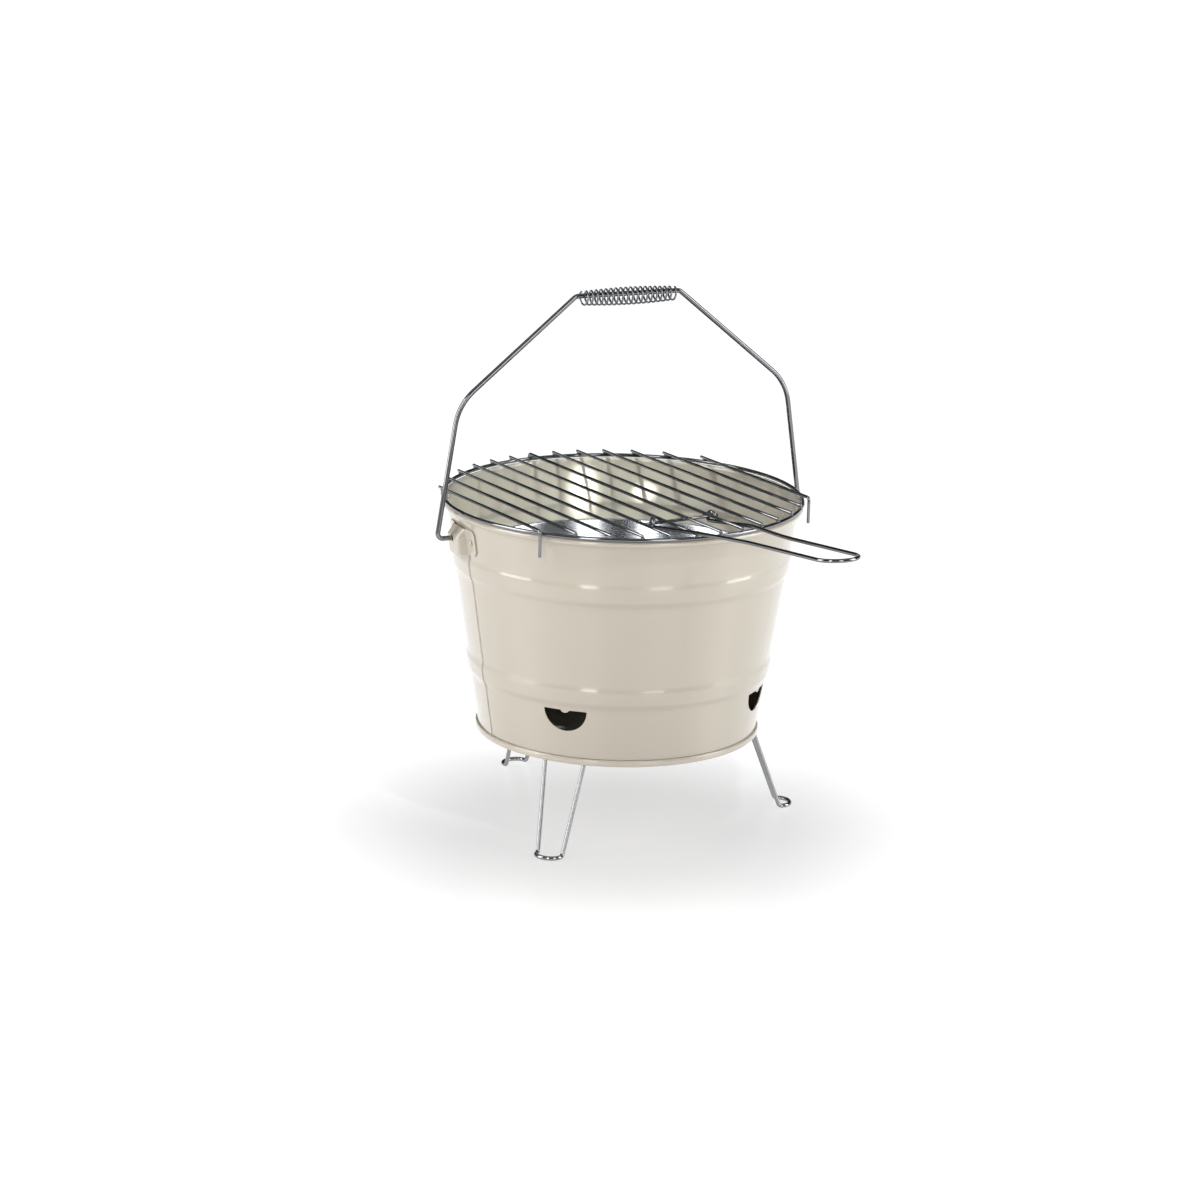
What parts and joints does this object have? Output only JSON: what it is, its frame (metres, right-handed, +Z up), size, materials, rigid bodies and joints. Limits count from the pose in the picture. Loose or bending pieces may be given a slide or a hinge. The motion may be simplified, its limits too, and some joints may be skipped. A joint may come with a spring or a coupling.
{
  "type": "portable bucket charcoal grill",
  "caption": "Portable bucket charcoal grill with a lift-off wire grate and folding handle, a bail with a coiled-spring grip, a charcoal pan and folding wire legs.",
  "frame": {"origin": "on the floor, on the bucket's axis, between the feet of the three legs", "axes": "+X along the bail's hinge line to the ear that the picture shows hidden, on the right; -Y towards the side that the grate's handle points to; +Z up"},
  "size_m": [0.2994, 0.4295, 0.4017],
  "materials": {
    "cream_enamel": "glossy baked enamel, cream",
    "chrome_wire": "bright chromed wire",
    "bright_steel": "bright plated sheet steel"
  },
  "bodies": {
    "bucket": {"bucket_wall": "cream_enamel", "bucket_base": "cream_enamel", "ear_right": "cream_enamel", "ear_left": "cream_enamel", "ear_rivet_right_front": "cream_enamel", "ear_rivet_right_back": "cream_enamel", "ear_rivet_left_front": "cream_enamel", "ear_rivet_left_back": "cream_enamel", "leg_clip_front": "bright_steel", "leg_clip_right": "bright_steel", "leg_clip_rear": "bright_steel", "leg_rivet_front": "bright_steel", "leg_rivet_right": "bright_steel", "leg_rivet_rear": "bright_steel"},
    "bail": {"bail_wire": "chrome_wire"},
    "grip": {"grip_spring": "chrome_wire"},
    "grate": {"grate_ring": "chrome_wire", "grate_rod_01": "chrome_wire", "grate_rod_02": "chrome_wire", "grate_rod_03": "chrome_wire", "grate_rod_04": "chrome_wire", "grate_rod_05": "chrome_wire", "grate_rod_06": "chrome_wire", "grate_rod_07": "chrome_wire", "grate_rod_08": "chrome_wire", "grate_rod_09": "chrome_wire", "grate_rod_10": "chrome_wire", "grate_rod_11": "chrome_wire", "grate_rod_12": "chrome_wire", "grate_rod_13": "chrome_wire", "grate_crossbar": "chrome_wire"},
    "handle": {"grate_handle": "chrome_wire"},
    "leg_front": {"leg_front": "chrome_wire"},
    "leg_right": {"leg_right": "chrome_wire"},
    "leg_rear": {"leg_rear": "chrome_wire"},
    "pan": {"charcoal_pan": "bright_steel"}
  },
  "joints": [
    {"name": "bail_swing", "type": "hinge", "parent": "bucket", "child": "bail", "pos_m": [0, 0, 0.223], "axis": [1, 0, 0], "range_deg": [-132, 74]},
    {"name": "grip_turn", "type": "hinge", "parent": "bail", "child": "grip", "pos_m": [0, 0, 0.3949], "axis": [1, 0, 0], "continuous": true},
    {"name": "grate_lift", "type": "slide", "parent": "bucket", "child": "grate", "axis": [0, 0, 1], "range_m": [0, 0.035]},
    {"name": "grate_handle_fold", "type": "hinge", "parent": "grate", "child": "handle", "pos_m": [0.00999, -0.08139, 0.24425], "axis": [-0.9925, -0.1219, 0], "range_deg": [0, 100]},
    {"name": "pan_lift", "type": "slide", "parent": "bucket", "child": "pan", "axis": [0, 0, 1], "range_m": [0, 0.04]},
    {"name": "leg_front_fold", "type": "hinge", "parent": "bucket", "child": "leg_front", "pos_m": [-0.07172, -0.06806, 0.073], "axis": [0.6884, -0.7254, 0], "range_deg": [0, 110]},
    {"name": "leg_right_fold", "type": "hinge", "parent": "bucket", "child": "leg_right", "pos_m": [0.0948, -0.02808, 0.073], "axis": [0.284, 0.9588, 0], "range_deg": [0, 110]},
    {"name": "leg_rear_fold", "type": "hinge", "parent": "bucket", "child": "leg_rear", "pos_m": [-0.02308, 0.09614, 0.073], "axis": [-0.9724, -0.2334, 0], "range_deg": [0, 110]}
  ]
}
